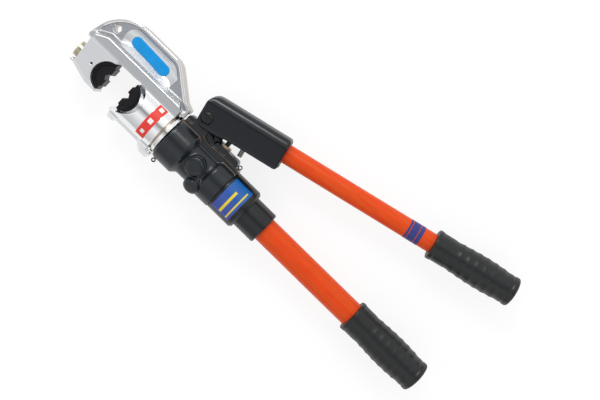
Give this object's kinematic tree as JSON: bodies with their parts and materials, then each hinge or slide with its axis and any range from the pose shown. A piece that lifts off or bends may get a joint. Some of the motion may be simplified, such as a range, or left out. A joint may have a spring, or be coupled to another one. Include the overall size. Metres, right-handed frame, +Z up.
{
  "type": "hydraulic crimping tool",
  "caption": "Hand-pumped hydraulic crimper: C-shaped swivel head with half-round dies, pump body with release valve, fixed tube handle and a hinged pump handle.",
  "frame": {"origin": "crimp centre: on the ram's axis, at the fixed die's face, at mid thickness", "axes": "+X along the ram's axis from the dies towards the fixed grip, +Y towards the pump handle, +Z up out of the side that carries the label plate"},
  "size_m": [0.606, 0.2191, 0.067],
  "materials": {
    "head_steel": "polished forging",
    "plate_blue": "printed plate, bare",
    "band_red": "printed film",
    "die_black": "black oxide",
    "button_gold": "plated, ribbed",
    "spring_steel": "ground",
    "seal_rubber": "moulded",
    "chrome_ring": "chrome plated",
    "ram_steel": "ground and polished",
    "white_plastic": "moulded",
    "body_black": "satin black paint",
    "wire_black": "black oxide",
    "bronze": "turned bronze",
    "sleeve_black": "satin moulded",
    "notice_blue": "printed film, bare",
    "tube_orange": "gloss orange enamel",
    "grip_rubber": "moulded satin rubber",
    "fork_black": "semi-gloss black paint",
    "stub_grey": "turned",
    "band_navy": "printed film"
  },
  "bodies": {
    "pump": {"pump_body": "body_black", "swivel_wire": "wire_black", "valve_cap": "body_black", "relief_cap": "body_black", "relief_ball": "spring_steel", "relief_spring": "spring_steel", "delivery_screw": "spring_steel", "delivery_spring": "spring_steel", "delivery_ball": "spring_steel", "suction_spring": "spring_steel", "suction_ball": "spring_steel", "suction_seat": "spring_steel", "intake_strainer": "bronze", "plunger_seal": "seal_rubber", "plunger_gland": "bronze", "plunger_spring": "spring_steel", "release_screw": "wire_black", "release_spring": "spring_steel", "pivot_bush": "bronze", "label_sleeve": "sleeve_black", "notice_panel": "notice_blue", "sleeve_clip": "wire_black", "rear_sleeve": "sleeve_black", "fixed_tube": "tube_orange", "oil_bladder": "seal_rubber", "bladder_ring": "spring_steel", "tube_end_plug": "sleeve_black", "fixed_grip": "grip_rubber"},
    "head": {"head_frame": "head_steel", "label_plate": "plate_blue", "size_band": "band_red", "fixed_die": "die_black", "jaw_button_spring": "spring_steel", "jaw_cross_pin": "spring_steel", "ram_wiper": "seal_rubber", "swivel_band": "chrome_ring", "swivel_seal": "seal_rubber", "spring_anchor": "spring_steel", "return_spring": "spring_steel"},
    "ram": {"ram": "ram_steel", "moving_die": "die_black", "ram_seal": "seal_rubber", "ram_backup_ring": "white_plastic", "ram_detent_spring": "spring_steel"},
    "lock_button": {"jaw_button": "button_gold"},
    "detent": {"ram_detent": "spring_steel"},
    "handle": {"fork": "fork_black", "pivot_pin": "wire_black", "pivot_clip": "spring_steel", "drive_pin": "spring_steel"},
    "twist": {"pump_tube": "tube_orange", "tube_plug": "spring_steel", "release_cam": "spring_steel", "tube_bands": "band_navy", "pump_grip": "grip_rubber"},
    "stub": {"release_stub": "stub_grey"},
    "plunger": {"plunger": "wire_black"},
    "release": {"release_pin": "spring_steel"}
  },
  "joints": [
    {"name": "head_swivel", "type": "hinge", "parent": "pump", "child": "head", "pos_m": [0.1025, 0, 0], "axis": [1, 0, 0], "range_deg": [-175, 175]},
    {"name": "ram_slide", "type": "slide", "parent": "head", "child": "ram", "axis": [-1, 0, 0], "range_m": [0, 0.0291], "stiffness_N_per_m": 400, "springref_m": -0.03, "deforming": ["return_spring"]},
    {"name": "lock_button_slide", "type": "slide", "parent": "head", "child": "lock_button", "axis": [1, 0, 0], "range_m": [0, 0.003], "stiffness_N_per_m": 500, "springref_m": -0.002, "deforming": ["jaw_button_spring"]},
    {"name": "detent_slide", "type": "slide", "parent": "ram", "child": "detent", "axis": [1, 0, 0], "range_m": [0, 0.0014], "stiffness_N_per_m": 400, "springref_m": -0.001, "deforming": ["ram_detent_spring"]},
    {"name": "handle_swing", "type": "hinge", "parent": "pump", "child": "handle", "pos_m": [0.1235, 0.053, 0], "axis": [0, 0, 1], "range_deg": [-0.5, 34]},
    {"name": "plunger_slide", "type": "slide", "parent": "pump", "child": "plunger", "axis": [0, 1, 0], "range_m": [-0.0005, 0.0212], "deforming": ["plunger_spring"]},
    {"name": "handle_twist", "type": "hinge", "parent": "handle", "child": "twist", "pos_m": [0.22277, 0.0871, 0], "axis": [0.9744, 0.225, 0], "range_deg": [0, 60]},
    {"name": "stub_slide", "type": "slide", "parent": "handle", "child": "stub", "axis": [0.225, -0.9744, 0], "range_m": [0, 0.0016]},
    {"name": "release_press", "type": "slide", "parent": "pump", "child": "release", "axis": [0, -1, 0], "range_m": [0, 0.0018], "stiffness_N_per_m": 500, "springref_m": -0.002, "deforming": ["release_spring"]}
  ],
  "couplings": [
    {"joint": "plunger_slide", "follows": "handle_swing", "m_per_rad": 0.034377},
    {"joint": "stub_slide", "follows": "handle_twist", "m_per_rad": 0.0014324}
  ]
}
